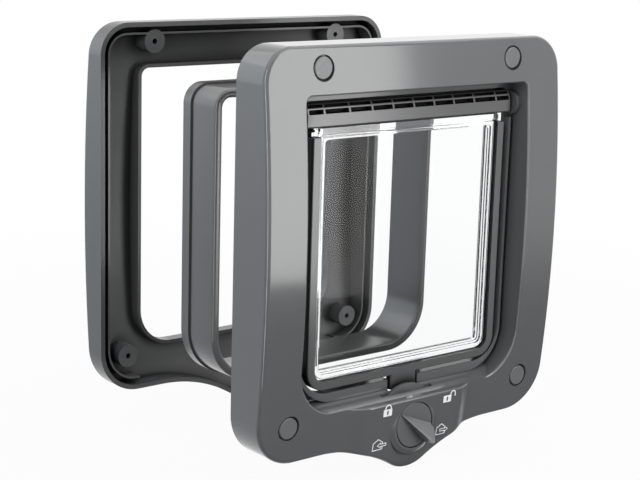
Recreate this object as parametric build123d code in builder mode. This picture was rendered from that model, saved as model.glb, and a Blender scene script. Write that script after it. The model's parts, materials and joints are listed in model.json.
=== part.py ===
# Cat flap kit: room-side frame with flap and four-way lock, tunnel, outer frame.
# Millimetres. X is across, Y runs from the room (-Y) to the outside (+Y), Z is up.
# The origin is midway between the two upper fixing holes, on the door face of the room-side frame.
import os
from math import atan2, cos, degrees, hypot, radians, sin, sqrt

from build123d import *

os.makedirs("parts", exist_ok=True)

# Frame outline, shared by both frames
half_width = 105.5
top_z = 11.5
bottom_z = -209.2
apron_z = -227.2           # lowest point, under the lock
top_corner_r = 18.5
bottom_corner_r = 26.0
apron_r = 22.0
flare_x = 62.0             # where the straight bottom edge starts to curve down to the apron
wall = 2.6

# Bulged faces
crown_z = -99.0
bulge_r = 833.5            # both faces are arcs of this radius, seen from the side
crown_depth = 29.2         # room-side frame, at the crown
pad_rise = 5.0             # raised pad round the lock
pad_half = 30.5
pad_blend = 18.0
edge_r = 2.4
mouth_r = 0.9              # round on the mouth of the recess

# Recess, passage and sill
recess_half = 79.5
recess_top = -14.0
recess_bottom = -185.0
ledge_y = -13.0            # front of the plate round the passage
plate_back_y = -10.8
passage_half = 73.5
passage_top = -17.9
passage_bottom = -176.0
lip_front_y = -17.3
lip_wall = 1.6
trough_y = (-7.5, -5.7)    # wall of the trough behind the hinge rail
trough_bottom = -24.3
shelf_z = (-184.5, -182.5) # shelf behind the sill, just under the tab's swing
shelf_back_y = -0.5

# Fixing screws
upper_x = 67.9
lower_x = 85.4
lower_z = -188.0
screw_hole_r = 2.4
pilot_r = 1.6
pilot_depth = 11.5
cap_r = 6.0
cap_hole_r = 6.9
cap_thickness = 2.3

# Hinge and flap
hinge_y = -13.5
hinge_z = -26.5
pin_r = 2.0
pin_clearance = 0.06
boss_r = 7.0
rail_half = 73.1
rail_top = -19.0
rail_bottom = -31.9
rib_x = (0.0, 14.8, 29.5, 45.0, 62.0)
rim_half = 69.1
rim_inner = 64.0
rim_top = -36.3
rim_bottom = -173.7
rim_front_y = -18.2
rim_back_y = -11.0
pane_half = 66.5
pane_front_y = -14.2
pane_back_y = -12.2
pane_top = -30.0
pane_bottom = -171.5
pane_clearance = 0.05
tab_half = 9.5
tab_bottom = -182.0
notch_clearance = 0.5

# Lock
lock_z = -201.0
dial_r = 12.9
dial_proud = 0.97          # how far the dial stands in front of the pad
dial_thickness = 2.5
fin_angle = -38.0          # the fin's high end points down to the right at rest
fin_height = 7.0
shaft_r = 6.0
shaft_clearance = 0.06
lock_screw_r = 1.6
lip_r = 22.3
lip_sweep = 88.0           # each of the two front lips
rear_lip_sweep = 178.0
hub_r = 16.0
lip_thickness = 1.8
tab_play = 1.5             # from the tab to the lips, in front and behind
lip_clearance = 0.6
collar_r = (17.2, 14.6)    # raised ring round the dial, at its foot and its top
collar_height = 1.6
print_thickness = 0.15

# Tunnel
tunnel_y = (45.4, 83.1)
tunnel_half = 80.5
tunnel_top = -18.8
tunnel_bottom = -187.3
tunnel_wall = 3.7
spigot_length = 6.2
band_length = 7.0

# Outer frame
outer_y = 132.0
outer_depth = 20.3
window_half = 72.8
window_top = -16.1
window_bottom = -184.7
window_wall_thickness = 2.2
window_lip_y = outer_y + 8.3
pilot_boss_r = 6.9


def frame_outline(inset=0.0):
    """The frame's outline in X and Z, drawn on the XZ plane."""
    s, b = apron_z + apron_r, bottom_z
    flare_r = (flare_x**2 + (s - b) ** 2 - apron_r**2) / (2 * (apron_r - (s - b)))
    turn = degrees(atan2(flare_x, flare_r + s - b))
    with BuildSketch(Plane.XZ, mode=Mode.PRIVATE) as sketch:
        with BuildLine():
            Line((0, top_z), (half_width - top_corner_r, top_z))
            CenterArc((half_width - top_corner_r, top_z - top_corner_r), top_corner_r, 0, 90)
            Line((half_width, top_z - top_corner_r), (half_width, bottom_z + bottom_corner_r))
            CenterArc((half_width - bottom_corner_r, bottom_z + bottom_corner_r), bottom_corner_r, 270, 90)
            Line((half_width - bottom_corner_r, bottom_z), (flare_x, bottom_z))
            CenterArc((flare_x, bottom_z - flare_r), flare_r, 90, turn)
            CenterArc((0, s), apron_r, 270, turn)
            mirror(about=Plane.YZ)
        make_face()
        if inset:
            offset(amount=-inset)
    return sketch.sketch


def rounded_box(half, top, bottom, top_r, bottom_r):
    """A box outline with its own top and bottom corner radii, on the XZ plane."""
    with BuildSketch(Plane.XZ, mode=Mode.PRIVATE) as sketch:
        with BuildLine():
            Line((-half + top_r, top), (half - top_r, top))
            CenterArc((half - top_r, top - top_r), top_r, 0, 90)
            Line((half, top - top_r), (half, bottom + bottom_r))
            CenterArc((half - bottom_r, bottom + bottom_r), bottom_r, 270, 90)
            Line((half - bottom_r, bottom), (-half + bottom_r, bottom))
            CenterArc((-half + bottom_r, bottom + bottom_r), bottom_r, 180, 90)
            Line((-half, bottom + bottom_r), (-half, top - top_r))
            CenterArc((-half + top_r, top - top_r), top_r, 90, 90)
        make_face()
    return sketch.sketch


def slab(sketch, y_front, y_back):
    """The sketch as a straight slab between two Y positions."""
    with BuildPart(mode=Mode.PRIVATE) as block:
        extrude(sketch.moved(Location((0, y_back, 0))), amount=y_back - y_front, dir=(0, -1, 0))
    return block.part


def bulge(depth, rise=0.0, thickness=60.0):
    """A thick shell whose front is the room-side face, with or without the raised pad."""
    reach = half_width + 20
    foot = pad_half + pad_blend
    back = -depth + thickness
    with BuildPart(mode=Mode.PRIVATE) as shell:
        with BuildSketch(Plane.XY.offset(crown_z)):
            with BuildLine():
                Polyline((reach, -depth), (reach, back), (-reach, back), (-reach, -depth), (-foot, -depth))
                if rise:
                    flat = ((1, 0), (1, 0))
                    Spline((-foot, -depth), (-pad_half, -depth - rise), tangents=flat)
                    Line((-pad_half, -depth - rise), (pad_half, -depth - rise))
                    Spline((pad_half, -depth - rise), (foot, -depth), tangents=flat)
                else:
                    Line((-foot, -depth), (foot, -depth))
                Line((foot, -depth), (reach, -depth))
            make_face()
        revolve(axis=Axis((0, bulge_r - crown_depth, crown_z), (1, 0, 0)), revolution_arc=9.9)
        mirror(about=Plane.XY.offset(crown_z))
        if rise:
            # the pad begins inside the recess, above the sill's edge
            with Locations((0, 0, recess_bottom + 4)):
                Box(300, 400, 400, align=(Align.CENTER, Align.CENTER, Align.MIN), mode=Mode.SUBTRACT)
    return shell.part


def face_y(z):
    """Y of the room-side face at height z, away from the pad."""
    return -crown_depth + bulge_r - sqrt(bulge_r**2 - (z - crown_z) ** 2)


def rod(r, y_front, y_back, x=0.0, z=0.0):
    """A round bar along Y."""
    with BuildPart(mode=Mode.PRIVATE) as bar:
        with Locations(Location((x, y_back, z), (90, 0, 0))):
            Cylinder(r, y_back - y_front, align=(Align.CENTER, Align.CENTER, Align.MIN))
    return bar.part


def block(x0, x1, y0, y1, z0, z1):
    """A box between two corners."""
    with BuildPart(mode=Mode.PRIVATE) as box:
        with Locations(((x0 + x1) / 2, (y0 + y1) / 2, (z0 + z1) / 2)):
            Box(x1 - x0, y1 - y0, z1 - z0)
    return box.part


def sector(r, start, sweep, y_front, y_back):
    """A slice of a disc about the lock's axis, angles measured from +X towards +Z."""
    a, b = radians(start), radians(start + sweep)
    with BuildSketch(Plane.XZ, mode=Mode.PRIVATE) as sketch:
        with BuildLine():
            CenterArc((0, lock_z), r, start, sweep)
            Polyline((r * cos(b), lock_z + r * sin(b)), (0, lock_z), (r * cos(a), lock_z + r * sin(a)))
        make_face()
    return slab(sketch.sketch, y_front, y_back)


def line_of(width, *points):
    """A drawn line of one width through the points, round at its ends and corners."""
    with BuildSketch(Plane.XZ, mode=Mode.PRIVATE) as sketch:
        for (x0, z0), (x1, z1) in zip(points, points[1:]):
            turn = degrees(atan2(z1 - z0, x1 - x0))
            with Locations(Location(((x0 + x1) / 2, (z0 + z1) / 2, 0), (0, 0, turn))):
                SlotCenterToCenter(hypot(x1 - x0, z1 - z0), width)
    return sketch.sketch


def bar_along_x(profile, half):
    """A straight bar along X with the given (y, z) corners."""
    with BuildPart(mode=Mode.PRIVATE) as bar:
        with BuildSketch(Plane.YZ):
            with BuildLine():
                Polyline(*profile, close=True)
            make_face()
        extrude(amount=half, both=True)
    return bar.part


def edges_over(edges, sketch, back_y):
    """The edges that lie over the sketch's outline and in front of back_y."""
    wire = sketch.wires()[0]
    middles = [(e, e.position_at(0.5)) for e in edges if e.bounding_box().max.Y < back_y]
    return [e for e, m in middles if wire.distance_to(Vertex(m.X, 0, m.Z)) < 0.01]


# Room-side frame
screws = [(-upper_x, 0.0), (upper_x, 0.0), (-lower_x, lower_z), (lower_x, lower_z)]
corners = ("ul", "ur", "ll", "lr")
outline = frame_outline()
cavity_outline = frame_outline(wall + 0.2)
recess = rounded_box(recess_half, recess_top, recess_bottom, 4.0, 27.0)
collar = rounded_box(recess_half + 2.4, recess_top + 2.4, recess_bottom - 2.4, 6.4, 29.4)
passage = rounded_box(passage_half, passage_top, passage_bottom, 1.0, 19.5)
# the lip's lower bar is taller and reaches down to the sill
lip = rounded_box(passage_half + lip_wall, passage_top + lip_wall, passage_bottom - 5.2, 2.6, 24.7)

skin = bulge(crown_depth) + bulge(crown_depth, pad_rise)
core = bulge(crown_depth - wall) + bulge(crown_depth - wall, pad_rise)
pad_y = face_y(lock_z) - pad_rise          # the pad's surface at the lock's axis
dial_front_y = pad_y - dial_proud
front_lip = (rim_front_y - tab_play - lip_thickness, rim_front_y - tab_play)
rear_lip = (pane_front_y + tab_play, pane_front_y + tab_play + lip_thickness)
notch_half = tab_half + notch_clearance

with BuildPart(mode=Mode.PRIVATE) as form:
    add(skin)
    add(slab(outline, -45, 0), mode=Mode.INTERSECT)
    fillet(edges_over(form.edges(), outline, -12), edge_r)
    add(slab(recess, -45, ledge_y), mode=Mode.SUBTRACT)
    fillet(edges_over(form.edges(), recess, ledge_y - 5), mouth_r)

with BuildPart(mode=Mode.PRIVATE) as hollow:
    add(core)
    add(slab(cavity_outline, -45, 1), mode=Mode.INTERSECT)
    add(slab(collar, -45, plate_back_y), mode=Mode.SUBTRACT)

# the sill slopes down from the passage to the recess's lower edge
sill_top = [(ledge_y, -180.2), (-16.5, -181.2), (-21.0, -183.2), (-25.5, -185.2)]
sill_bar = bar_along_x(sill_top + [(-25.5, -187.0), (ledge_y, -187.0)], recess_half + 1)
sill_core = bar_along_x([(-15.2, -190), (-15.2, -183.1), (-19.6, -184.9), (-23.0, -186.8), (-23.0, -190)], 50.0)

with BuildPart() as inner_frame:
    add(form.part)
    add(hollow.part, mode=Mode.SUBTRACT)
    add(sill_bar & slab(collar, -45, ledge_y) & skin)
    # a thin lip stands round the passage, close to the flap's rim
    add(slab(lip, lip_front_y, ledge_y) - block(-100, 100, -20, 0, -34.5, 0))
    add(slab(passage, -45, plate_back_y), mode=Mode.SUBTRACT)
    add(sill_core, mode=Mode.SUBTRACT)
    # bearing bosses for the hinge pins, and the trough between them that closes the gap over the rail
    boss_end = passage_half + 6.1
    for side in (-1, 1):
        with Locations(Location((side * (boss_end - 1.8), hinge_y, hinge_z), (0, 90, 0))):
            Cylinder(boss_r, 3.6)
        x = side * (boss_end - 0.9)
        add(block(x - 0.9, x + 0.9, plate_back_y, trough_y[1], trough_bottom, -15.9))
    add(block(-boss_end, boss_end, plate_back_y, trough_y[1], passage_top, -15.9))
    add(block(-boss_end, boss_end, *trough_y, trough_bottom, passage_top))
    add(block(-21, 21, ledge_y + 1.5, shelf_back_y, *shelf_z))
    for side in (-1, 1):
        with Locations(Location((side * (boss_end - 3.3), hinge_y, hinge_z), (0, 90, 0))):
            Cylinder(pin_r + pin_clearance, 6.6, mode=Mode.SUBTRACT)
    # the tab's notch, the slot that the front lips rise through, and room for the rear lip's turn
    cut_back_y = plate_back_y + 0.3
    add(block(-notch_half - 1.2, notch_half + 1.2, -18.7, -16.0, -190, -172), mode=Mode.SUBTRACT)
    add(block(-notch_half, notch_half, -16.0, cut_back_y, -190, -172), mode=Mode.SUBTRACT)
    add(block(-19, 19, front_lip[0] - 0.3, front_lip[1] + 0.3, -190, -180), mode=Mode.SUBTRACT)
    add(rod(lip_r + lip_clearance, rear_lip[0] - 0.5, cut_back_y, 0, lock_z), mode=Mode.SUBTRACT)
    # tubes for the four fixing screws, with a seat under each cover
    for x, z in screws:
        face = face_y(z)
        seat = face + 0.1 + cap_thickness
        add(rod(8.9, face + 1.0, face + 6.5, x, z) + rod(5.2, face + 1.0, 0, x, z))
        add(rod(cap_hole_r, -45, seat, x, z), mode=Mode.SUBTRACT)
        add(rod(cap_r - 0.7, -45, seat + 2.6, x, z), mode=Mode.SUBTRACT)
        add(rod(screw_hole_r, -45, 0, x, z), mode=Mode.SUBTRACT)
    # collar, dial recess and bearing for the lock knob
    with Locations(Location((0, pad_y + 0.6, lock_z), (90, 0, 0))):
        Cone(*collar_r, collar_height, align=(Align.CENTER, Align.CENTER, Align.MIN))
    add(rod(9.0, pad_y + 1.5, front_lip[0] - 0.5, 0, lock_z))
    add(rod(dial_r + 0.5, -45, dial_front_y + dial_thickness + 0.4, 0, lock_z), mode=Mode.SUBTRACT)
    add(rod(shaft_r + shaft_clearance, -45, 0, 0, lock_z), mode=Mode.SUBTRACT)

# Screw covers
covers = {}
for corner, (x, z) in zip(corners, screws):
    front = face_y(z) + 0.1
    seat = front + cap_thickness
    with BuildPart() as cover:
        add(rod(cap_r, front, seat, x, z))
        fillet(cover.edges().filter_by(GeomType.CIRCLE).sort_by(Axis.Y)[0], 0.7)
        add(rod(cap_r - 0.8, seat, seat + 2.2, x, z) - rod(cap_r - 2.0, seat, seat + 2.2, x, z))
    covers["screw_cap_" + corner] = cover.part

# Flap
rim_outer = rounded_box(rim_half, rim_top, rim_bottom, 1.0, 12.0)
rim_window = rounded_box(rim_inner, rim_top + 20, -169.0, 0.5, 7.0)
rim_sight = rounded_box(rim_inner + 1.2, rim_top + 20, -170.2, 0.5, 8.0)
pane_groove = rounded_box(pane_half, pane_top + 9, pane_bottom, 0.5, 9.4)
pane_sheet = rounded_box(pane_half - pane_clearance, pane_top, pane_bottom + pane_clearance, 0.5, 9.35)

# The tab under the flap, which the lock's lips catch
with BuildPart(mode=Mode.PRIVATE) as tab:
    add(block(-tab_half, tab_half, rim_front_y, pane_front_y, tab_bottom, rim_bottom + 1.5))
    fillet(tab.edges().filter_by(Axis.Z).sort_by(Axis.Y)[:2], 1.6)

with BuildPart() as flap_rim:
    add(slab(rim_outer, rim_front_y, rim_back_y))
    fillet([e for e in flap_rim.edges() if e.bounding_box().max.Y < rim_front_y + 0.1], 0.7)
    add(slab(pane_groove, pane_front_y, pane_back_y), mode=Mode.SUBTRACT)
    add(slab(rim_window, -20, pane_front_y), mode=Mode.SUBTRACT)
    add(slab(rim_sight, pane_back_y, 0), mode=Mode.SUBTRACT)
    add(tab.part)
    # the rear layer of the side bars runs on up to the rail
    for side in (-1, 1):
        add(block(side * 67.2 - 1.9, side * 67.2 + 1.9, pane_back_y, rim_back_y, rim_top - 2, rail_bottom))

# The stiffening bead round the sight, a low step with a rounded ridge on it
with BuildPart(mode=Mode.PRIVATE) as bead:
    step_y = pane_front_y - 0.8
    add(slab(rounded_box(63.6, -34.6, -168.6, 1.5, 6.6), step_y, pane_front_y))
    add(slab(rounded_box(62.9, -36.0, -167.9, 1.5, 5.9), step_y - 1.4, step_y))
    fillet(bead.edges().filter_by(lambda e: e.bounding_box().max.Y < step_y - 1.3), 0.6)
    add(slab(rounded_box(60.6, -38.4, -165.6, 1.5, 3.6), step_y - 1.4, step_y), mode=Mode.SUBTRACT)
    add(slab(rounded_box(59.6, -39.4, -164.6, 1.5, 2.6), step_y, pane_front_y), mode=Mode.SUBTRACT)

with BuildPart() as flap_pane:
    add(slab(pane_sheet, pane_front_y, pane_back_y))
    add(bead.part)
    # the thicker band along the top, and its two end blocks
    add(block(-63.5, 63.5, pane_front_y - 2.2, pane_front_y, -34.9, -32.1))
    for side in (-1, 1):
        add(block(side * 65.3 - 1.1, side * 65.3 + 1.1, pane_front_y - 1.6, pane_front_y, -36.0, -32.6))

rail_front = [(-13.0, rail_top), (-15.4, rail_top), (-16.9, -21.4), (-18.0, -24.7)]
rail_foot = [(-18.0, -30.6), (-17.2, -31.5), (-15.6, rail_bottom)]
rail_groove = [
    (pane_front_y, rail_bottom),
    (pane_front_y, pane_top + 0.6),
    (pane_back_y, pane_top + 0.6),
    (pane_back_y, rail_bottom),
]
rail_back = [(rim_back_y, rail_bottom), (-10.2, -30.6), (-10.2, -22.5), (-11.6, -19.6)]
with BuildPart() as hinge_rail:
    add(bar_along_x(rail_front + rail_foot + rail_groove + rail_back, rail_half))
    # two rows of pockets between the ribs
    edges = sorted({-x for x in rib_x} | set(rib_x) | {-rail_half + 0.4, rail_half - 0.4})
    for left, right in zip(edges, edges[1:]):
        add(block(left + 0.6, right - 0.6, -19, -14.2, -24.4, -22.0), mode=Mode.SUBTRACT)
        add(block(left + 0.6, right - 0.6, -19, -13.4, -21.0, -19.6), mode=Mode.SUBTRACT)
    for side in (-1, 1):
        with Locations(Location((side * (rail_half - 3.4), hinge_y, hinge_z), (0, 90, 0))):
            Cylinder(pin_r, 7.0, mode=Mode.SUBTRACT)

pins = {}
for name, side in (("hinge_pin_l", -1), ("hinge_pin_r", 1)):
    with BuildPart() as pin:
        with Locations(Location((side * (rail_half - 0.4), hinge_y, hinge_z), (0, 90, 0))):
            Cylinder(pin_r, 13.0)
    pins[name] = pin.part

# Lock
# The grip is a fin, low and thin at one end, high and thick at the other, steep on its lower side.
fin_root = dial_front_y + 1.0
fin_low = [(0, -0.9), (0, 0.9), (0.5, 0.2), (0.5, -0.2)]
fin_high = [(0, -4.6), (0, 9.0), (fin_height, -1.5), (fin_height, -3.2)]
with BuildPart(mode=Mode.PRIVATE) as fin:
    for x, section in ((-12.7, fin_low), (13.9, fin_high)):
        with BuildSketch(Plane.YZ.offset(x)):
            with BuildLine():
                Polyline(*[(dial_front_y - h if h else fin_root, z) for h, z in section], close=True)
            make_face()
    loft(ruled=True)
grip = fin.part.rotate(Axis.Y, -fin_angle).moved(Location((0, 0, lock_z)))
grip_reach = rod(dial_r + 0.8, -45, dial_front_y - 1.1, 0, lock_z) + rod(dial_r - 0.4, -45, 0, 0, lock_z)

with BuildPart() as lock_knob:
    add(rod(dial_r, dial_front_y, dial_front_y + dial_thickness, 0, lock_z))
    fillet(lock_knob.edges().filter_by(GeomType.CIRCLE).sort_by(Axis.Y)[0], 0.4)
    add(rod(shaft_r, dial_front_y + dial_thickness, rear_lip[1], 0, lock_z))
    add(rod(lock_screw_r, -20, 0, 0, lock_z), mode=Mode.SUBTRACT)
    add(grip & grip_reach)

with BuildPart() as lock_rotor:
    add(rod(hub_r, front_lip[0], rear_lip[1], 0, lock_z))
    # two front lips stop the flap swinging in, the rear lip stops it swinging out
    for middle in (90, 270):
        add(sector(lip_r, middle - lip_sweep / 2, lip_sweep, *front_lip))
    add(sector(lip_r, 225 - rear_lip_sweep / 2, rear_lip_sweep, *rear_lip))
    add(rod(shaft_r + 0.02, -45, 0, 0, lock_z), mode=Mode.SUBTRACT)

washer_back_y = rear_lip[1] + 1.0
with BuildPart() as lock_washer:
    add(rod(8.0, rear_lip[1], washer_back_y, 0, lock_z))
    add(rod(lock_screw_r, -45, 0, 0, lock_z), mode=Mode.SUBTRACT)

with BuildPart() as lock_screw:
    add(rod(lock_screw_r, -19.5, washer_back_y, 0, lock_z))
    add(rod(3.4, washer_back_y, washer_back_y + 2.2, 0, lock_z))
    fillet(lock_screw.edges().filter_by(GeomType.CIRCLE).sort_by(Axis.Y)[-1], 0.8)

# Tunnel
tf, tb = tunnel_y


def tunnel_outline(inset):
    """The tunnel's outline, smaller all round by the inset."""
    return rounded_box(tunnel_half - inset, tunnel_top - inset, tunnel_bottom + inset, 10.5 - inset, 28.5 - inset)


with BuildPart() as tunnel:
    add(slab(tunnel_outline(1.1), tf, tf + spigot_length))
    add(slab(tunnel_outline(0.0), tf + spigot_length, tb - band_length - 1.2))
    add(slab(tunnel_outline(0.8), tb - band_length - 1.2, tb - band_length))
    add(slab(tunnel_outline(-1.1), tb - band_length, tb))
    add(slab(tunnel_outline(tunnel_wall), tf, tb), mode=Mode.SUBTRACT)

# Outer frame
window = rounded_box(window_half, window_top, window_bottom, 5.0, 22.0)
w = window_wall_thickness
window_wall = rounded_box(window_half + w, window_top + w, window_bottom - w, 5.0 + w, 22.0 + w)
outer_crown_y = outer_y + outer_depth


def to_outside(part):
    """Turns a room-side form round so that its face looks outwards at the outer frame."""
    return part.mirror(Plane.XZ).moved(Location((0, outer_crown_y - crown_depth, 0)))


with BuildPart(mode=Mode.PRIVATE) as back_form:
    add(bulge(crown_depth))
    add(slab(outline, -45, -crown_depth + outer_depth), mode=Mode.INTERSECT)
    fillet(edges_over(back_form.edges(), outline, -12), edge_r)

with BuildPart(mode=Mode.PRIVATE) as back_hollow:
    add(bulge(crown_depth - wall))
    add(slab(cavity_outline, -45, 1 - crown_depth + outer_depth), mode=Mode.INTERSECT)

rib_outer = frame_outline(6.2)
rib_inner = frame_outline(7.4)
with BuildPart() as outer_frame:
    add(to_outside(back_form.part))
    add(to_outside(back_hollow.part), mode=Mode.SUBTRACT)
    # window wall, perimeter rib and bosses stand up from the inside of the face
    stand = slab(window_wall, window_lip_y, outer_crown_y + 2) - slab(window, window_lip_y, outer_crown_y + 2)
    rib = slab(rib_outer, outer_y + 2, outer_crown_y + 2) - slab(rib_inner, outer_y + 2, outer_crown_y + 2)
    for x, z in screws:
        stand += rod(pilot_boss_r, outer_y + 2, outer_crown_y + 2, x, z)
    rib -= block(-77, 77, outer_y, outer_crown_y + 2, -240, -196)
    for x, z in screws:
        rib -= rod(pilot_boss_r - 0.4, outer_y, outer_crown_y + 2, x, z)
    add((stand + rib) & to_outside(back_form.part))
    add(slab(window, outer_y, outer_crown_y + 2), mode=Mode.SUBTRACT)
    for x, z in screws:
        add(rod(pilot_r, outer_y, outer_y + pilot_depth, x, z), mode=Mode.SUBTRACT)

# Printed marks, a thin film on the pad
film = bulge(crown_depth + print_thickness, pad_rise) - bulge(crown_depth, pad_rise)


def padlock(x0, x1, shackle):
    """A padlock with a keyhole, and its shackle drawn through the given points."""
    with BuildSketch(Plane.XZ, mode=Mode.PRIVATE) as sketch:
        with Locations(((x0 + x1) / 2, -190.1)):
            RectangleRounded(x1 - x0, 4.1, 0.3)
            SlotOverall(2.7, 1.25, rotation=90, mode=Mode.SUBTRACT)
        add(line_of(0.65, *shackle))
    return sketch.sketch


def arch(x, z, r, foot_l, foot_r):
    """Points of a shackle: two legs and a half circle between them."""
    bow = [(x - r * cos(radians(a)), z + r * sin(radians(a))) for a in range(0, 181, 20)]
    return [(x - r, foot_l)] + bow + [(x + r, foot_r)]


def house(left, right, peak):
    """A house outline, open at its right wall where the arrow goes through."""
    roof_foot, floor = -207.2, -211.4
    points = [(right, -208.0), (right, roof_foot), (peak, -205.2), (left, roof_foot), (left, floor)]
    return line_of(0.45, *points, (right, floor), (right, -209.9))


def arrow(tip, tail):
    """An arrow outline with its head at the tip and a square tail."""
    way = 1 if tip > tail else -1
    neck = tip - way * 2.2
    upper = [(tip, -209.0), (neck, -207.6), (neck, -208.3), (tail, -208.3)]
    return line_of(0.38, *upper, (tail, -209.7), (neck, -209.7), (neck, -210.4), (tip, -209.0))


drawings = {
    "mark_locked": padlock(-23.7, -17.7, arch(-20.5, -187.6, 2.0, -188.6, -188.6)),
    "mark_open": padlock(21.0, 26.9, arch(28.1, -187.6, 1.7, -188.6, -189.0)),
    "mark_in_only": house(-28.7, -21.9, -25.2) + arrow(-25.4, -19.2),
    "mark_out_only": house(18.6, 25.1, 22.2) + arrow(27.4, 21.4),
}
marks = {name: slab(drawing, -45, -20) & film for name, drawing in drawings.items()}

parts = {
    "inner_frame": inner_frame.part,
    "hinge_rail": hinge_rail.part,
    "flap_rim": flap_rim.part,
    "flap_pane": flap_pane.part,
    "lock_knob": lock_knob.part,
    "lock_rotor": lock_rotor.part,
    "lock_washer": lock_washer.part,
    "lock_screw": lock_screw.part,
    "tunnel": tunnel.part,
    "outer_frame": outer_frame.part,
    **covers,
    **pins,
    **marks,
}
for name, part in parts.items():
    part.label = name
    export_step(part, f"parts/{name}.step")
    print(name, round(part.volume), part.is_valid, len(part.solids()))
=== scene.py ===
# %% [markdown]
# # A cat flap kit, dressed in Blender
# They stand one behind the other, as they would be slid together. All the rigid shapes but the tunnel's
# come from the measured model. This script gives them their finish, their light and the photograph's
# camera, and models the tunnel's sleeve anew.

# %% Load the measured model
import json
import math

import bmesh
import bpy
from mathutils import Euler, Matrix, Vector


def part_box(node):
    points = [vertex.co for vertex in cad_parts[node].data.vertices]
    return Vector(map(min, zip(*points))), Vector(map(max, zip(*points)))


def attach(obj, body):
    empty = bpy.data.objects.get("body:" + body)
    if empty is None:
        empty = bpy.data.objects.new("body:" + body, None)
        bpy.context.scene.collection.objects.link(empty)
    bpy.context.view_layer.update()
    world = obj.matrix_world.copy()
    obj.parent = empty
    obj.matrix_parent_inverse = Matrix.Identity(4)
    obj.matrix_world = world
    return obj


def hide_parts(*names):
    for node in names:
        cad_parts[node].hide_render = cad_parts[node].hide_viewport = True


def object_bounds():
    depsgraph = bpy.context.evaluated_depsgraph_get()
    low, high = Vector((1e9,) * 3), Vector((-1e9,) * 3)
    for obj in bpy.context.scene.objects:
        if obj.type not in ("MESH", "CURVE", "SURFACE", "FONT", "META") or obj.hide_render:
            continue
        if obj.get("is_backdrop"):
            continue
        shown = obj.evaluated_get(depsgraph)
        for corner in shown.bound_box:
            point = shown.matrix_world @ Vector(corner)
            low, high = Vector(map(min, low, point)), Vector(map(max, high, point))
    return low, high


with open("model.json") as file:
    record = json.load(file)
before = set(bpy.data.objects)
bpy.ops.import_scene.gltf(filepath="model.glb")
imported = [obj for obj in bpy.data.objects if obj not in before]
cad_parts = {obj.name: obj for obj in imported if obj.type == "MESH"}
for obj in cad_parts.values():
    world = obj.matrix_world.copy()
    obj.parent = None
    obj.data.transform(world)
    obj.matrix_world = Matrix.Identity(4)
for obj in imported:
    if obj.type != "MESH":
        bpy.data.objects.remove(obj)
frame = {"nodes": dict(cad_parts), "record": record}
nodes = frame["nodes"]
cad_low, cad_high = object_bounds()
print("the model spans", [round(v, 4) for v in cad_high - cad_low], "metres")

# %% [markdown]
# ## The camera
# A product photographer stands back and uses a long lens, so that parallel edges stay nearly parallel.
# This camera stands about 0.86 m from the flap, 39 degrees round to the left, and looks down 12 degrees.
# A slight roll is kept, because the photograph has it. A constraint could aim the camera at the flap, but
# its place and angles were measured from the photograph, so they are set as they are.

# %% Camera
SENSOR_WIDTH = 36.0
LENS = 86.6
CAMERA_PLACE = Vector((-0.55786, -0.62800, 0.08143))
CAMERA_AZIMUTH = 39.054
CAMERA_TILT = 12.342
CAMERA_ROLL = 1.706

camera_data = bpy.data.cameras.new("photo_camera")
camera_data.sensor_width = SENSOR_WIDTH
camera_data.lens = LENS
camera_data.clip_start = 0.01
camera = bpy.data.objects.new("photo_camera", camera_data)
bpy.context.scene.collection.objects.link(camera)
turn = Euler((math.radians(90 - CAMERA_TILT), 0, math.radians(-CAMERA_AZIMUTH)), "XYZ").to_matrix()
roll = Euler((0, 0, math.radians(CAMERA_ROLL)), "XYZ").to_matrix()
camera.rotation_euler = (turn @ roll).to_euler()
camera.location = CAMERA_PLACE
bpy.context.scene.camera = camera
print("camera stands", round((CAMERA_PLACE - (cad_low + cad_high) / 2).length, 3), "m from the kit")

# %% [markdown]
# ## The studio
# A dark glossy plastic is lit mostly by what it mirrors: big pale panels with darkness between them. A
# picture of a studio could be wrapped round the world for that. A few smooth ramps over the direction do
# the same and are plain to read. In front they see a pale wall that turns dark low down. The camera, and
# what it sees through the clear pane, get plain white.

# %% Node helpers


def set_socket(tree, socket, value):
    """Set a socket to a plain number, or link it to another socket."""
    if isinstance(value, (int, float)):
        socket.default_value = value
    else:
        tree.links.new(value, socket)


def link_math(tree, operation, first, second):
    """A Math node whose inputs are sockets or plain numbers."""
    node = tree.nodes.new("ShaderNodeMath")
    node.operation = operation
    set_socket(tree, node.inputs[0], first)
    set_socket(tree, node.inputs[1], second)
    return node.outputs[0]


def smooth_ramp(tree, value, start, end, low, high):
    """The value from start to end spread smoothly over low to high, which may be sockets."""
    node = tree.nodes.new("ShaderNodeMapRange")
    node.interpolation_type = "SMOOTHSTEP"
    tree.links.new(value, node.inputs["Value"])
    for name, setting in (("From Min", start), ("From Max", end), ("To Min", low), ("To Max", high)):
        set_socket(tree, node.inputs[name], setting)
    return node.outputs["Result"]


def split_xyz(tree, vector):
    """The X, Y and Z of a vector."""
    node = tree.nodes.new("ShaderNodeSeparateXYZ")
    tree.links.new(vector, node.inputs[0])
    return node.outputs


def mix_colours(tree, share, first, second):
    """From the first colour to the second, each given as three numbers or as a socket."""
    node = tree.nodes.new("ShaderNodeMix")
    node.data_type = "RGBA"
    tree.links.new(share, node.inputs["Factor"])
    for name, colour in (("A", first), ("B", second)):
        if isinstance(colour, tuple):
            node.inputs[name].default_value = (*colour, 1)
        else:
            tree.links.new(colour, node.inputs[name])
    return node.outputs["Result"]


def mix_shaders(tree, share, first, second):
    """From the first shader to the second."""
    node = tree.nodes.new("ShaderNodeMixShader")
    set_socket(tree, node.inputs["Fac"], share)
    tree.links.new(first, node.inputs[1])
    tree.links.new(second, node.inputs[2])
    return node.outputs[0]


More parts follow.
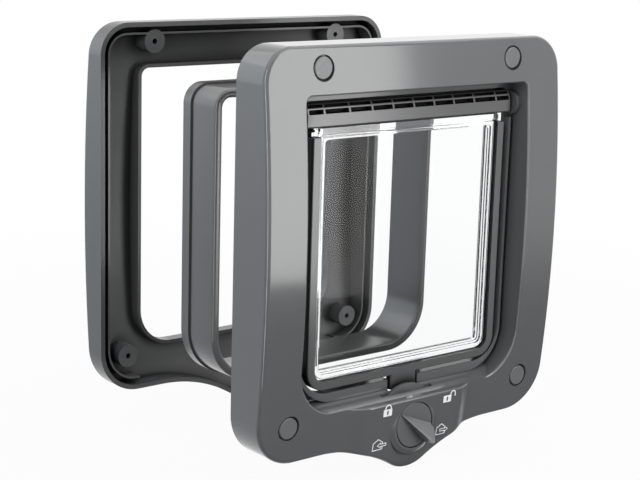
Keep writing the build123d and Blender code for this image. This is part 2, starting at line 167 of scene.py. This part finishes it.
def seen_directly(tree):
    """1 for what the camera sees, itself or through the clear plastic, and 0 for all other rays."""
    path = tree.nodes.new("ShaderNodeLightPath")
    return link_math(tree, "MAXIMUM", path.outputs["Is Camera Ray"], path.outputs["Is Transmission Ray"])


# %% What reflections see
WHITE = (1.0, 1.0, 1.0)
BACKDROP_GLOW = 1.3
LEFT_GLOW = 2.8
LOW_LEFT_GLOW = 1.15
LEFT_COLOUR = (0.93, 1.0, 1.07)
FRONT_GLOW = 1.4
LOW_FRONT_GLOW = 0.10
# Where each change starts and ends, along one axis of the direction that a ray takes.
FRONT_RISE_Z = (-0.34, -0.16)
LEFT_RISE_Z = (-0.27, 0.09)
LEFT_TO_MIDDLE_X = (-0.5, 0.0)
FRONT_TO_BACK_Y = (-0.1, 0.35)

world = bpy.data.worlds.new("studio")
bpy.context.scene.world = world
world.use_nodes = True
tree = world.node_tree
tree.nodes.clear()
direction = split_xyz(tree, tree.nodes.new("ShaderNodeTexCoord").outputs["Generated"])
in_front = smooth_ramp(tree, direction["Z"], *FRONT_RISE_Z, LOW_FRONT_GLOW, FRONT_GLOW)
left = smooth_ramp(tree, direction["Z"], *LEFT_RISE_Z, LOW_LEFT_GLOW, LEFT_GLOW)
behind = smooth_ramp(tree, direction["X"], *LEFT_TO_MIDDLE_X, left, BACKDROP_GLOW)
reflected = tree.nodes.new("ShaderNodeBackground")
strength = smooth_ramp(tree, direction["Y"], *FRONT_TO_BACK_Y, in_front, behind)
tree.links.new(strength, reflected.inputs["Strength"])
from_left = smooth_ramp(tree, direction["X"], *LEFT_TO_MIDDLE_X, 0, 1)
tree.links.new(mix_colours(tree, from_left, LEFT_COLOUR, WHITE), reflected.inputs["Color"])
print("reflections see a glow from", LOW_FRONT_GLOW, "to", LEFT_GLOW)

AMBIENT = 0.10

ambient = tree.nodes.new("ShaderNodeBackground")
ambient.inputs["Strength"].default_value = AMBIENT
white = tree.nodes.new("ShaderNodeBackground")
for shader in (ambient, white):
    shader.inputs["Color"].default_value = (*WHITE, 1)
glossy_ray = tree.nodes.new("ShaderNodeLightPath").outputs["Is Glossy Ray"]
unseen = mix_shaders(tree, glossy_ray, ambient.outputs[0], reflected.outputs[0])
sky = mix_shaders(tree, seen_directly(tree), unseen, white.outputs[0])
world_out = tree.nodes.new("ShaderNodeOutputWorld")
tree.links.new(sky, world_out.inputs["Surface"])
bpy.context.scene.view_settings.view_transform = "Standard"
print("the kit is lit all round by", AMBIENT, "of white, and the camera sees white behind it")

# %% [markdown]
# ## The floor
# A curved backdrop could hide its far edge, but a flat sheet looks the same from every side. To the
# camera most of its brightness is its own, and further out all of it is, so it joins the white background
# without a line. It is left out of reflections, where the world's own low parts show.

# %% Floor
FLOOR_SIZE = 6.0
FLOOR_GAP = 0.0005
FLOOR_GREY = (0.5, 0.5, 0.5)
FLOOR_OWN_LIGHT = 0.95
FLOOR_FADE = (0.2, 0.9)

floor_height = cad_low.z - FLOOR_GAP
floor_mesh = bpy.data.meshes.new("floor")
bm = bmesh.new()
bmesh.ops.create_grid(bm, x_segments=1, y_segments=1, size=FLOOR_SIZE)
bmesh.ops.translate(bm, verts=bm.verts, vec=(0, 0, floor_height))
bm.to_mesh(floor_mesh)
bm.free()
floor = bpy.data.objects.new("floor", floor_mesh)
bpy.context.scene.collection.objects.link(floor)
floor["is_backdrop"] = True
floor.visible_glossy = False
print("the floor lies at", round(floor_height, 4), "m")

# %% Floor material
floor_material = bpy.data.materials.new("pale_floor")
floor_material.use_nodes = True
tree = floor_material.node_tree
tree.nodes.clear()
lit = tree.nodes.new("ShaderNodeBsdfDiffuse")
lit.inputs["Color"].default_value = (*FLOOR_GREY, 1)
glow = tree.nodes.new("ShaderNodeEmission")
glow.inputs["Color"].default_value = (*WHITE, 1)
away = tree.nodes.new("ShaderNodeVectorMath")
away.operation = "LENGTH"
tree.links.new(tree.nodes.new("ShaderNodeTexCoord").outputs["Object"], away.inputs[0])
own_light = smooth_ramp(tree, away.outputs["Value"], *FLOOR_FADE, FLOOR_OWN_LIGHT, 1.0)
share = link_math(tree, "MULTIPLY", seen_directly(tree), own_light)
floor_out = tree.nodes.new("ShaderNodeOutputMaterial")
tree.links.new(mix_shaders(tree, share, lit.outputs[0], glow.outputs[0]), floor_out.inputs["Surface"])
floor_mesh.materials.append(floor_material)
print("the floor's own light grows from", FLOOR_OWN_LIGHT, "to 1 by", FLOOR_FADE[1], "m out")

# %% [markdown]
# ## The lamps
# An area lamp is a soft box: its size sets how soft the shadow is, and its power divided by its area sets
# how bright it looks in a reflection. So each box is given by the directions that it covers, as seen from
# the flap, and by its brightness. The key box stands to the right of the camera and shows as the pale
# patch in the upper left of the bulged face. It ends at 41 degrees to the right and at 15.4 degrees down,
# found by mirroring the camera's line of sight in the face where the patch ends. The high box is large
# and dim and softens the shadows. The strip box, far round to the left, is narrow and draws the light
# line along the left edges. The top box, behind and above, brightens the tops.

# %% Lamps
FLAP_MIDDLE = Vector((0, 0, -0.1))


def soft_box(name, azimuths, elevations, distance, brightness):
    """An area lamp that covers the given directions, azimuth 0 being the room side, in degrees."""
    a = math.radians(sum(azimuths) / 2)
    e = math.radians(sum(elevations) / 2)
    half_turn = math.radians(azimuths[1] - azimuths[0]) / 2
    half_rise = math.radians(elevations[1] - elevations[0]) / 2
    lamp = bpy.data.lights.new(name, "AREA")
    lamp.shape = "RECTANGLE"
    lamp.size = 2 * distance * math.tan(half_turn)
    lamp.size_y = 2 * distance * math.tan(half_rise)
    lamp.energy = brightness * math.pi * lamp.size * lamp.size_y
    box = bpy.data.objects.new(name, lamp)
    bpy.context.scene.collection.objects.link(box)
    towards = Vector((math.sin(a) * math.cos(e), -math.cos(a) * math.cos(e), math.sin(e)))
    box.location = FLAP_MIDDLE + towards * distance
    box.rotation_euler = towards.to_track_quat("Z", "Y").to_euler()
    print(name, "gives", round(lamp.energy, 1), "watts")


soft_box("key_box", (20.0, 41.0), (-15.4, 44.0), distance=1.6, brightness=6.2)
soft_box("high_box", (-40.0, 45.0), (52.0, 84.0), distance=1.6, brightness=1.5)
soft_box("strip_box", (-66.0, -52.0), (-24.0, 40.0), distance=1.8, brightness=8.0)
soft_box("top_box", (100.0, 220.0), (40.0, 84.0), distance=1.8, brightness=1.2)

# %% [markdown]
# ## Moulded plastic
# The frames, the tunnel and the lock are glossy moulded plastic. Such a surface isn't a perfect mirror: it
# has a very fine texture from the mould, and slow waves where the plastic has shrunk. Two noises give
# those, one fine and one broad, and two more change the tint and the gloss very slightly.
# A slot or a narrow corner sees little of the studio, so on the real kit it is dark. The shader alone
# would still mirror a pale panel there, so an Ambient Occlusion node measures how open each place is, and
# hollows get painted shade: their base colour is darkened towards HOLLOW_SHADE and their specular level is
# lowered. A painted map could do that too, but one would be needed for each piece.

# %% Material helpers
TINT_SCALE = 30
GLOSS_SCALE = 55
NOISE_RANGE = (0.2, 0.8)


def bare_material(name):
    """A new material with one Principled shader, its node tree, and that shader."""
    material = bpy.data.materials.new(name)
    material.use_nodes = True
    return material, material.node_tree, material.node_tree.nodes["Principled BSDF"]


def noise(tree, scale, detail):
    """Noise on Object coordinates, in metres."""
    texture = tree.nodes.new("ShaderNodeTexNoise")
    texture.inputs["Scale"].default_value = scale
    texture.inputs["Detail"].default_value = detail
    where = tree.nodes.new("ShaderNodeTexCoord")
    tree.links.new(where.outputs["Object"], texture.inputs["Vector"])
    return texture.outputs["Fac"]


def uneven(tree, scale, detail, low, high):
    """A value that wanders smoothly between low and high over the surface."""
    return smooth_ramp(tree, noise(tree, scale, detail), *NOISE_RANGE, low, high)


def bump(tree, height, depth, under=None):
    """The normal of a surface with this height on it, depth metres deep, over another normal."""
    node = tree.nodes.new("ShaderNodeBump")
    node.inputs["Strength"].default_value = 1.0
    node.inputs["Distance"].default_value = depth
    tree.links.new(height, node.inputs["Height"])
    if under is not None:
        tree.links.new(under, node.inputs["Normal"])
    return node.outputs["Normal"]


# %% Moulded plastic
PLASTIC_IOR = 1.49
PLAIN_SPECULAR = 0.5
HOLLOW_REACH = 0.007
HOLLOW_SAMPLES = 12
HOLLOW_SHADE = 0.12
TINT_SPREAD = 0.02
GLOSS_SPREAD = 0.05
GRAIN_SCALE = 1400
WAVE_SCALE = 9
WAVE_DEPTH = 0.00006


def shaded(colour, share):
    """The colour made darker or paler by a share."""
    return tuple(part * share for part in colour)


def moulded_plastic(name, colour, gloss, texture_depth, hollow_power=0.5):
    """Coloured plastic: gloss is its roughness, texture_depth the height of its fine grain in metres.

    A higher hollow_power makes the painted shade darker in corners and pockets that light hardly reaches."""
    material, tree, shader = bare_material(name)
    shader.inputs["IOR"].default_value = PLASTIC_IOR
    hollow = tree.nodes.new("ShaderNodeAmbientOcclusion")
    hollow.samples = HOLLOW_SAMPLES
    hollow.inputs["Distance"].default_value = HOLLOW_REACH
    openness = link_math(tree, "POWER", hollow.outputs["AO"], hollow_power)
    mirrored = link_math(tree, "MULTIPLY", openness, PLAIN_SPECULAR)
    tree.links.new(mirrored, shader.inputs["Specular IOR Level"])
    tint_share = uneven(tree, TINT_SCALE, 3, 0, 1)
    darker, paler = shaded(colour, 1 - TINT_SPREAD), shaded(colour, 1 + TINT_SPREAD)
    tint = mix_colours(tree, tint_share, darker, paler)
    # painted shade: the base colour turns towards HOLLOW_SHADE of itself where the occlusion finds a
    # hollow
    colour_with_painted_shade = mix_colours(tree, openness, shaded(colour, HOLLOW_SHADE), tint)
    tree.links.new(colour_with_painted_shade, shader.inputs["Base Color"])
    dulled = uneven(tree, GLOSS_SCALE, 4, gloss * (1 - GLOSS_SPREAD), gloss * (1 + GLOSS_SPREAD))
    tree.links.new(dulled, shader.inputs["Roughness"])
    grain = bump(tree, noise(tree, GRAIN_SCALE, 2), texture_depth)
    waves = bump(tree, noise(tree, WAVE_SCALE, 1), WAVE_DEPTH, under=grain)
    tree.links.new(waves, shader.inputs["Normal"])
    return material


FRAME_GREY = (0.102, 0.104, 0.107)
FLAP_GREY = (0.076, 0.077, 0.079)
TUNNEL_GREY = (0.084, 0.084, 0.085)
# painted shade: the outer frame is the same plastic as the frame, and its darker grey stands in for the
# shade it lies in
OUTER_GREY_WITH_SHADE = (0.058, 0.059, 0.061)
OUTER_GLOSS = 0.26

finishes = {
    "frame_grey": moulded_plastic("frame_grey", FRAME_GREY, 0.10, 0.000002),
    "cap_grey": moulded_plastic("cap_grey", FRAME_GREY, 0.27, 0.000005),
    "flap_grey": moulded_plastic("flap_grey", FLAP_GREY, 0.15, 0.000002, hollow_power=4.0),
    "lock_grey": moulded_plastic("lock_grey", FRAME_GREY, 0.22, 0.000003, hollow_power=1.2),
    "tunnel_grey": moulded_plastic("tunnel_grey", TUNNEL_GREY, 0.24, 0.000002),
    "outer_grey": moulded_plastic("outer_grey", OUTER_GREY_WITH_SHADE, OUTER_GLOSS, 0.000003, hollow_power=1.2),
}
print(len(finishes), "greys are mixed")

# %% [markdown]
# ## The matt inside of the outer frame, and its painted shade
# The inside of a hollow moulding is left rough by the tool, and it is out of the light. So behind the
# ends of its bosses the outer frame turns duller, and its colour is darkened there as painted shade, on
# the faces that look towards the room only. A second material could do this, but its edge would have to
# follow the faces of the model. Here the surface's own normal and its place along the tunnel say where the
# inside is.

# %% Outer frame, inside
INSIDE_START = 0.0015
INSIDE_FULL = 0.0070
INSIDE_TURN = (-0.05, -0.35)
INSIDE_GLOSS = 0.42
INSIDE_PAINTED_SHADE = 0.35

tree = finishes["outer_grey"].node_tree
shader = tree.nodes["Principled BSDF"]
rim_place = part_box("outer_frame")[0][1]
where = tree.nodes.new("ShaderNodeTexCoord")
place = split_xyz(tree, where.outputs["Object"])
facing = split_xyz(tree, where.outputs["Normal"])
deep = smooth_ramp(tree, place["Y"], rim_place + INSIDE_START, rim_place + INSIDE_FULL, 0, 1)
inside = smooth_ramp(tree, facing["Y"], *INSIDE_TURN, 0, deep)
# painted shade: the base colour on the inside is scaled down to INSIDE_PAINTED_SHADE, and the roughness is
# raised to INSIDE_GLOSS
for socket, full in (("Base Color", INSIDE_PAINTED_SHADE), ("Roughness", INSIDE_GLOSS / OUTER_GLOSS)):
    usual = shader.inputs[socket].links[0].from_socket
    scale = tree.nodes.new("ShaderNodeVectorMath")
    scale.operation = "SCALE"
    tree.links.new(usual, scale.inputs[0])
    tree.links.new(smooth_ramp(tree, inside, 0, 1, 1, full), scale.inputs["Scale"])
    tree.links.new(scale.outputs["Vector"], shader.inputs[socket])
print("the outer frame's inside starts", round(rim_place + INSIDE_START, 4), "m along the tunnel")

# %% [markdown]
# ## The clear pane
# The pane is clear plastic with a thicker bead moulded round it. Light goes straight through the flat
# middle, and the bead bends it, so the bead is what shows. A refracting shader over the whole pane would
# lay a grey veil on the middle. So the middle is plainly transparent with a trace of sheen, and only a
# band along the edge refracts. For shadow rays all of it is transparent, because Cycles would otherwise
# give the clear plastic a dark shadow.

# %% Clear plastic
BEAD_BAND = 0.0075
BEAD_FADE = 0.001
BEAD_TINT = (0.97, 0.985, 0.99)
FLAT_TINT = (0.985, 0.99, 0.99)
FLAT_GLOSS = 0.006
FLAT_ROUGHNESS = 0.05
PANE_WAVE_DEPTH = 0.00004

clear, tree, shader = bare_material("clear_plastic")
shader.inputs["Base Color"].default_value = (*BEAD_TINT, 1)
shader.inputs["Transmission Weight"].default_value = 1.0
shader.inputs["IOR"].default_value = PLASTIC_IOR
tree.links.new(uneven(tree, 40, 2, 0.015, 0.04), shader.inputs["Roughness"])
tree.links.new(bump(tree, noise(tree, 22, 1), PANE_WAVE_DEPTH), shader.inputs["Normal"])
through = tree.nodes.new("ShaderNodeBsdfTransparent")
through.inputs["Color"].default_value = (*FLAT_TINT, 1)
sheen = tree.nodes.new("ShaderNodeBsdfGlossy")
sheen.inputs["Roughness"].default_value = FLAT_ROUGHNESS
flat_pane = mix_shaders(tree, FLAT_GLOSS, through.outputs[0], sheen.outputs[0])

# %% Where the pane is flat
pane_low, pane_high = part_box("flap_pane")
half_width = (pane_high[0] - pane_low[0]) / 2
half_height = (pane_high[2] - pane_low[2]) / 2
place = split_xyz(tree, tree.nodes.new("ShaderNodeTexCoord").outputs["Object"])
across = link_math(tree, "ABSOLUTE", place["X"], 0)
height = link_math(tree, "SUBTRACT", place["Z"], (pane_high[2] + pane_low[2]) / 2)
height = link_math(tree, "ABSOLUTE", height, 0)
flat_width = half_width - BEAD_BAND
flat_height = half_height - BEAD_BAND
flat = smooth_ramp(tree, across, flat_width, flat_width - BEAD_FADE, 0, 1)
flat = smooth_ramp(tree, height, flat_height, flat_height - BEAD_FADE, 0, flat)
shadow_ray = tree.nodes.new("ShaderNodeLightPath").outputs["Is Shadow Ray"]
clear_share = link_math(tree, "MAXIMUM", shadow_ray, flat)
pane_surface = mix_shaders(tree, clear_share, shader.outputs[0], flat_pane)
tree.links.new(pane_surface, tree.nodes["Material Output"].inputs["Surface"])
finishes["clear"] = clear
print("the pane is flat over", round(2 * flat_width, 4), "by", round(2 * flat_height, 4), "m")

# %% [markdown]
# ## The metal and the print
# The lock's screw and washer are zinc plated, a metal whose gloss changes in small patches. The four
# marks are printed in white ink, which is thin and a little uneven, and has less sheen than the plastic
# round it. A picture of the marks could be laid on the frame, but they are pieces of the measured model,
# so plain ink is all that they need.

# %% Zinc-plated steel and white ink
ZINC = (0.62, 0.62, 0.60)
INK_WHITE = (0.86, 0.87, 0.87)
THIN_INK_WHITE = (0.78, 0.79, 0.79)
INK_ROUGHNESS = 0.45

steel, tree, shader = bare_material("zinc_steel")
shader.inputs["Base Color"].default_value = (*ZINC, 1)
shader.inputs["Metallic"].default_value = 1.0
tree.links.new(uneven(tree, 500, 4, 0.22, 0.38), shader.inputs["Roughness"])
finishes["steel"] = steel

ink, tree, shader = bare_material("white_ink")
ink_share = uneven(tree, 900, 3, 0, 1)
tree.links.new(mix_colours(tree, ink_share, THIN_INK_WHITE, INK_WHITE), shader.inputs["Base Color"])
shader.inputs["Roughness"].default_value = INK_ROUGHNESS
finishes["print_white"] = ink
print(len(finishes), "finishes in all:", ", ".join(finishes))

# %% [markdown]
# ## The tunnel
# The tunnel is a moulded sleeve: a rounded outline with an even wall, a plain rounded front edge, and at
# the back a shallow groove and a slightly proud band that slips into the outer frame. It could be built
# from two outlines bridged together, but one outline is enough: its corners are bevelled as vertices, the
# wall is an inset of that face, and the sleeve is an extrusion of the ring that is left. The measured
# tunnel has a stepped front end, and the photograph shows none, so this piece stands for it.

# %% Tunnel sizes
BAND_PROUD = 0.0011
BAND_LENGTH = 0.0070
GROOVE_WIDTH = 0.0009
GROOVE_DEPTH = 0.0005
STEPPED_END = 0.0078
TUNNEL_WALL = 0.0050
UPPER_RADIUS = 0.0105
LOWER_RADIUS = 0.0285
FRONT_EDGE = 0.0018

low, high = (Vector(corner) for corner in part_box("tunnel"))
front = low.y + STEPPED_END
back = high.y
band_start = back - BAND_LENGTH
groove_start = band_start - GROOVE_WIDTH
half_width = high.x - BAND_PROUD
top = high.z - BAND_PROUD
bottom = low.z + BAND_PROUD
print("the tunnel shows", round(back - front, 4), "m of its length")

# %% Tunnel outline and wall
bm = bmesh.new()
outline = [(-half_width, bottom), (half_width, bottom), (half_width, top), (-half_width, top)]
corners = [bm.verts.new((x, back, z)) for x, z in outline]
bm.faces.new(corners)
for pair, radius, segments in ((corners[:2], LOWER_RADIUS, 18), (corners[2:], UPPER_RADIUS, 12)):
    bmesh.ops.bevel(
        bm, geom=pair, offset=radius, segments=segments, profile=0.5, affect="VERTICES", material=-1
    )
hole = bm.faces[:]
bmesh.ops.inset_region(bm, faces=hole, thickness=TUNNEL_WALL, use_even_offset=True, use_boundary=True)
bmesh.ops.delete(bm, geom=hole, context="FACES_ONLY")
grown = bmesh.ops.extrude_face_region(bm, geom=bm.faces[:])
moved = [part for part in grown["geom"] if isinstance(part, bmesh.types.BMVert)]
bmesh.ops.translate(bm, verts=moved, vec=(0, front - back, 0))
bmesh.ops.recalc_face_normals(bm, faces=bm.faces[:])
print("open edges:", sum(edge.is_boundary for edge in bm.edges))

# %% [markdown]
# ## The tunnel's band, groove and front edge
# The outside wall is cut across at two places, and the strips between the cuts are raised or sunk by an
# inset with a depth. Two more sleeves could be joined on instead, but then the wall would have hidden
# faces. The front edge is found by its place and by the sharp angle between its faces, and is rounded.

# %% Tunnel band, groove and front edge
INSET_WIDTH = 0.00002
SAME_PLACE = 0.000001
SHARP_ANGLE = 1.0
FRONT_EDGE_SEGMENTS = 5

for cut in (band_start, groove_start):
    whole = bm.verts[:] + bm.edges[:] + bm.faces[:]
    bmesh.ops.bisect_plane(bm, geom=whole, plane_co=(0, cut, 0), plane_no=(0, 1, 0))


def outer_faces(start, end):
    """The faces of the outside wall between two places along the tunnel."""
    middle = Vector((0, 0, (top + bottom) / 2))
    found = []
    for face in bm.faces:
        centre = face.calc_center_median()
        outward = face.normal.dot(centre - middle) > 0 and abs(face.normal.y) < 0.5
        if outward and start < centre.y < end:
            found.append(face)
    return found


for start, end, rise in ((band_start, back, BAND_PROUD), (groove_start, band_start, -GROOVE_DEPTH)):
    bmesh.ops.inset_region(bm, faces=outer_faces(start, end), thickness=INSET_WIDTH, depth=rise)
sharp_edges = [edge for edge in bm.edges if edge.calc_face_angle(0) > SHARP_ANGLE]
front_edges = [
    edge for edge in sharp_edges if all(abs(vert.co.y - front) < SAME_PLACE for vert in edge.verts)
]
bmesh.ops.bevel(
    bm,
    geom=front_edges,
    offset=FRONT_EDGE,
    segments=FRONT_EDGE_SEGMENTS,
    profile=0.5,
    affect="EDGES",
    material=-1,
)
print("open edges:", sum(edge.is_boundary for edge in bm.edges), "of", len(bm.edges))

# %% Tunnel object
SMOOTH_ANGLE = 30


def sort_by_place(parts, place):
    """Order corners, edges or faces by where they are, because the tools leave another order each run."""
    ranks = {part: rank for rank, part in enumerate(sorted(parts, key=lambda part: tuple(place(part))))}
    parts.sort(key=lambda part: ranks[part])


sort_by_place(bm.verts, lambda vert: vert.co)
sort_by_place(bm.edges, lambda edge: (edge.verts[0].co + edge.verts[1].co) / 2)
sort_by_place(bm.faces, lambda face: face.calc_center_median())
for face in bm.faces:
    face.smooth = True
tunnel_mesh = bpy.data.meshes.new("tunnel_sleeve")
bm.to_mesh(tunnel_mesh)
bm.free()
tunnel = bpy.data.objects.new("tunnel_sleeve", tunnel_mesh)
bpy.context.scene.collection.objects.link(tunnel)
tunnel_mesh.set_sharp_from_angle(angle=math.radians(SMOOTH_ANGLE))
tunnel_mesh.materials.append(finishes["tunnel_grey"])
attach(tunnel, "tunnel")
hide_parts("tunnel")
print("the tunnel has", len(tunnel_mesh.polygons), "faces")

# %% [markdown]
# ## Putting the finishes on
# The measured model's record says which finish each piece has. A list of pieces could be written here
# again, but reading the record keeps the two the same.

# %% Put the finishes on the model
slots = {part["node"]: part["material_slot"] for part in frame["record"]["subparts"]}
for name, piece in nodes.items():
    piece.data.materials.clear()
    piece.data.materials.append(finishes[slots[name]])
print(len(nodes), "pieces have their finish")

# %% Sizes, and the end
low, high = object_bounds()
